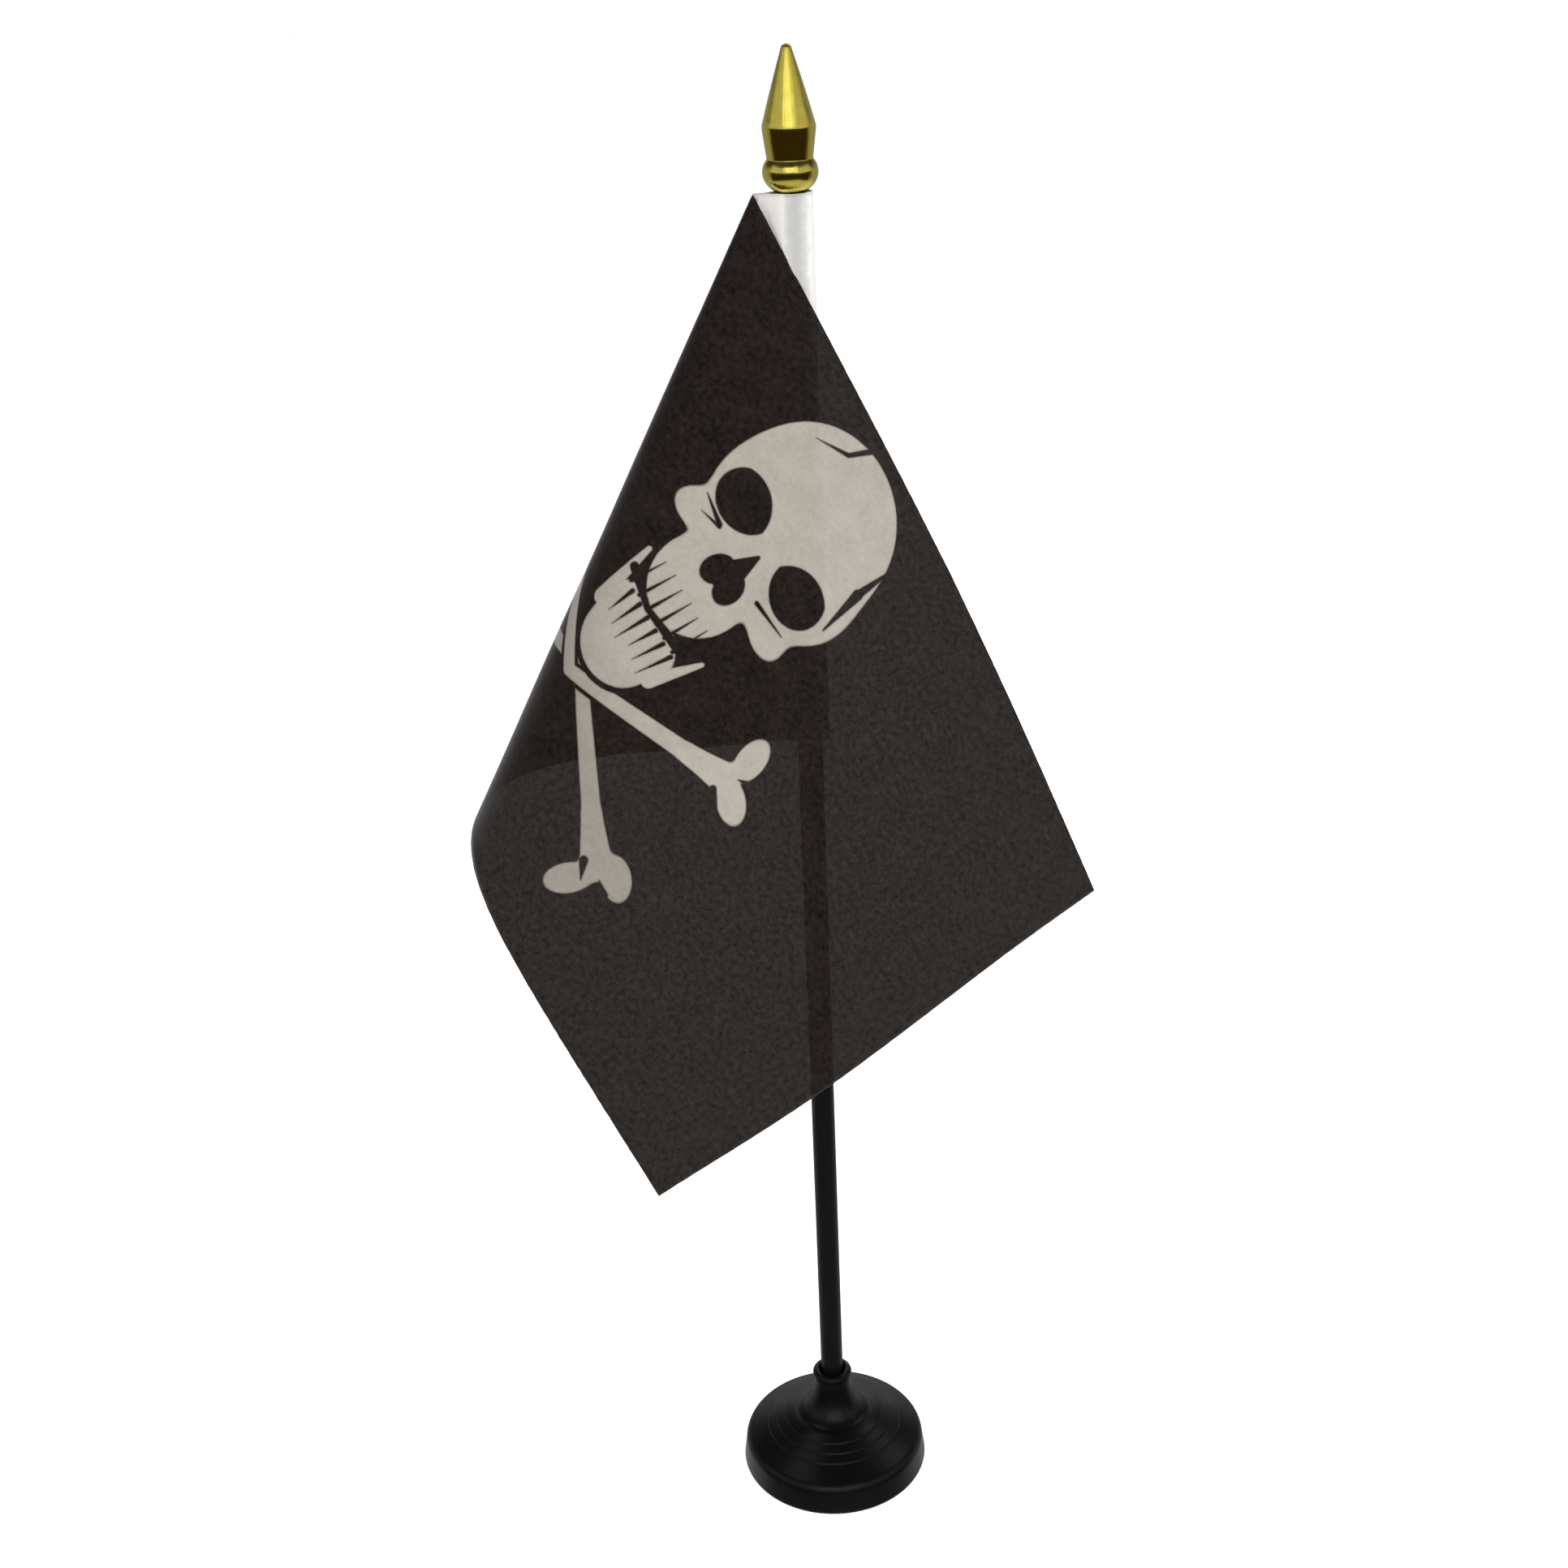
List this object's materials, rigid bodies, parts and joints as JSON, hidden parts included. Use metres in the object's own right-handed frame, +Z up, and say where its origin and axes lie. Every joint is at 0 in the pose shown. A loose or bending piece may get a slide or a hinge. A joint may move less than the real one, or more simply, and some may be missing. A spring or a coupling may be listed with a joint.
{
  "type": "desk flag stand",
  "caption": "Small printed cloth flag hanging from a straight plastic pole with a spear finial, standing in a round weighted base.",
  "frame": {"origin": "on the pole's axis, in the plane that the base rests on", "axes": "+Z up along the pole; the flag's front layer faces -Y; +X is to the right seen from the front"},
  "size_m": [0.17, 0.1114, 0.4436],
  "materials": {
    "base_plastic": "satin injection moulding with faint turning rings",
    "weight_steel": "dull punched steel",
    "pad_foam": "closed-cell foam sheet",
    "pole_plastic": "satin extruded rod",
    "gold_plating": "bright metallised gold over plastic",
    "printed_cloth": "plain-weave polyester, screen printed, cut edges",
    "sleeve_cloth": "white plain-weave polyester tape",
    "thread": "white polyester sewing thread"
  },
  "bodies": {
    "base": {"base_shell": "base_plastic", "base_weight": "weight_steel", "base_pad": "pad_foam"},
    "pole": {"pole": "pole_plastic"},
    "finial": {"finial": "gold_plating"},
    "flag": {"flag_panel": "printed_cloth", "hoist_sleeve": "sleeve_cloth", "needle_thread": "thread", "bobbin_thread": "thread"}
  },
  "joints": [
    {"name": "pole_lift", "type": "slide", "parent": "base", "child": "pole", "axis": [0, 0, 1], "range_m": [0, 0.03]},
    {"name": "finial_pull", "type": "slide", "parent": "pole", "child": "finial", "axis": [0, 0, 1], "range_m": [0, 0.015]},
    {"name": "flag_swivel", "type": "hinge", "parent": "pole", "child": "flag", "pos_m": [0, 0, 0.408], "axis": [0, 0, 1], "continuous": true}
  ]
}
